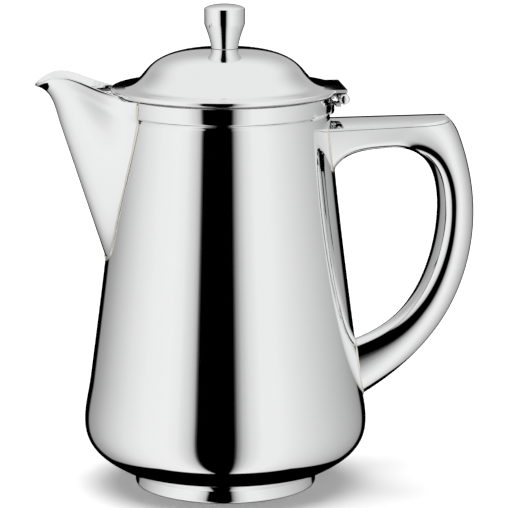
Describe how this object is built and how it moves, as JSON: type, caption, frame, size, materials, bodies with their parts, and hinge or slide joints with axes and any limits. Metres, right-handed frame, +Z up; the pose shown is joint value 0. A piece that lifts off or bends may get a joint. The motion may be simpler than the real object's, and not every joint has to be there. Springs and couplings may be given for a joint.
{
  "type": "coffee pot",
  "caption": "Tapered steel coffee pot on a low foot ring, with a beak spout, a hollow D-shaped handle and a hinged domed lid with a turned knob.",
  "frame": {"origin": "centre of the bounding box in plan, on the plane the foot stands on; the pot's own axis is 12.6 mm to -X of it", "axes": "+Z up along the pot's axis, +X from the pot towards the handle, the spout points to -X"},
  "size_m": [0.1726, 0.1122, 0.1916],
  "materials": {
    "polished_steel": "mirror-polished stainless steel",
    "satin_steel": "satin stainless steel, turned or drawn and left unpolished inside",
    "solder": "dull warm grey solder line"
  },
  "bodies": {
    "pot": {"pot_body": "polished_steel", "foot_ring": "polished_steel", "base_plate": "satin_steel", "mouth_ring": "satin_steel", "spout": "polished_steel", "spout_seam": "solder", "handle_shell": "polished_steel", "handle_inner_plate": "polished_steel", "handle_top_plate": "polished_steel", "handle_upper_seam": "solder", "handle_lower_seam": "solder", "hinge_body_leaf": "polished_steel", "hinge_pin": "satin_steel"},
    "lid_assembly": {"lid": "polished_steel", "lid_locating_ring": "satin_steel", "hinge_lid_leaf": "polished_steel", "knob": "polished_steel", "knob_screw": "satin_steel", "knob_washer": "satin_steel"}
  },
  "joints": [
    {"name": "lid_hinge", "type": "hinge", "parent": "pot", "child": "lid_assembly", "pos_m": [0.0328, 0, 0.1556], "axis": [0, 1, 0], "range_deg": [0, 100]}
  ]
}
